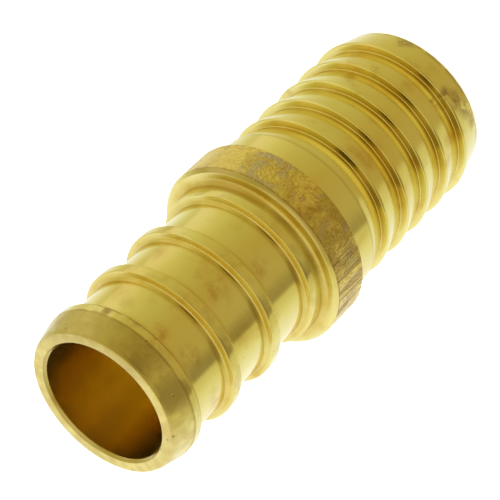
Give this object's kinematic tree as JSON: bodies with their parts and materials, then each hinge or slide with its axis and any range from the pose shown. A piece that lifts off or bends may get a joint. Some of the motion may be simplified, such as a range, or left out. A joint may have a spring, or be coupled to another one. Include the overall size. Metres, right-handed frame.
{
  "type": "brass insert coupling with a crimp end and a barbed end",
  "caption": "Straight brass insert coupling turned from round bar, with a ribbed end for crimped PEX tube, a stop collar and a barbed end for soft plastic tube.",
  "frame": {"origin": "on the bore's axis, in the end face of the barbed end, which the coupling stands on", "axes": "+Z along the bore's axis, from the barbed end up to the nose of the crimp end; X and Y are alike, because the part is round"},
  "size_m": [0.0142, 0.0142, 0.0349],
  "materials": {
    "brass": "bright turned brass, the collar left with the drawn bar's dull skin"
  },
  "bodies": {
    "root": {"coupling_body": "brass"}
  },
  "joints": []
}
